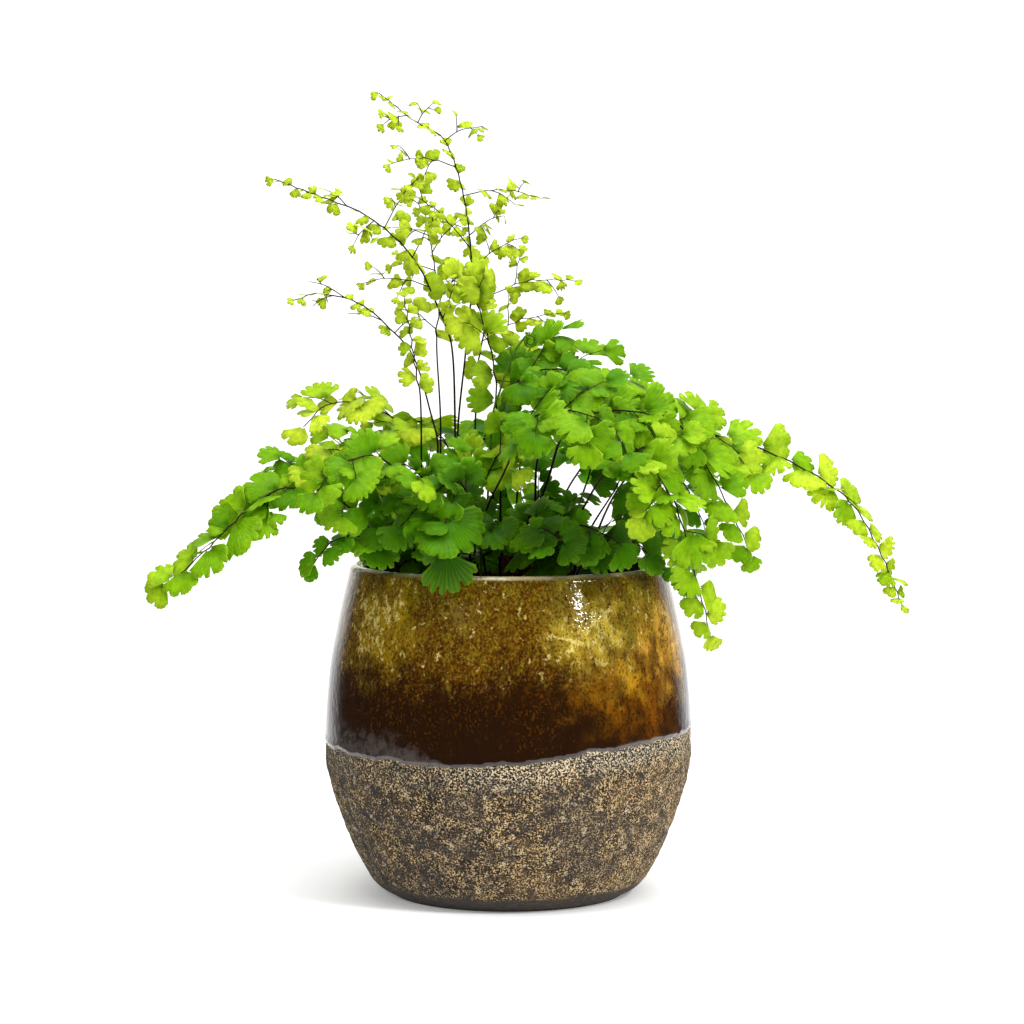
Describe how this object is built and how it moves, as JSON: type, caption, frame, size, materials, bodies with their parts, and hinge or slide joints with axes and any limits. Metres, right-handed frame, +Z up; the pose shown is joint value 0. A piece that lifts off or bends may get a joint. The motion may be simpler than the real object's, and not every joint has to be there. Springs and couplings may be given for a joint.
{
  "type": "potted fern",
  "caption": "Maidenhair fern with arching fronds of fan-shaped leaflets on dark wiry stalks, growing in a round glazed stoneware planter.",
  "frame": {"origin": "centre of the planter's flat foot, on the surface it stands on", "axes": "+Z up, the side with the lowest hanging fronds faces -Y"},
  "size_m": [0.3539, 0.2694, 0.3907],
  "materials": {
    "glazed_stoneware": "olive-gold to dark brown glaze above a rough brown stone coat",
    "potting_soil": "damp crumbly compost",
    "rhizome": "matte brown scales",
    "young_stalk": "satin",
    "fern": "satin, thin and translucent"
  },
  "bodies": {
    "root": {"planter": "glazed_stoneware", "potting_soil": "potting_soil", "rhizome": "rhizome", "crozier_tall": "young_stalk", "crozier_short": "young_stalk", "frond_tall_centre": "fern", "frond_tall_left": "fern", "frond_thin_left": "fern", "frond_upright_left": "fern", "frond_tall_right": "fern", "frond_young_thin": "fern", "frond_bright_centre": "fern", "frond_centre": "fern", "frond_long_right": "fern", "frond_mid_right": "fern", "frond_hanging_right": "fern", "frond_upper_right": "fern", "frond_inner_right": "fern", "frond_front_right": "fern", "frond_long_left": "fern", "frond_pale_high": "fern", "frond_pale_low": "fern", "frond_front_left": "fern", "frond_low_left": "fern", "frond_over_rim": "fern", "frond_short_right": "fern", "frond_short_front": "fern", "frond_short_left": "fern", "frond_rim_right": "fern", "frond_back_left": "fern", "frond_back": "fern", "frond_back_right": "fern", "frond_far_right": "fern", "frond_low_back_left": "fern", "frond_low_back_right": "fern", "frond_back_upright_right": "fern", "frond_back_upright_left": "fern", "frond_inner_left": "fern", "frond_inner_centre": "fern", "frond_mid_centre": "fern", "frond_low_centre": "fern", "frond_low_right": "fern", "frond_low_front_left": "fern", "frond_low_middle": "fern", "frond_behind_stalks": "fern", "frond_inside_rim_left": "fern"}
  },
  "joints": []
}
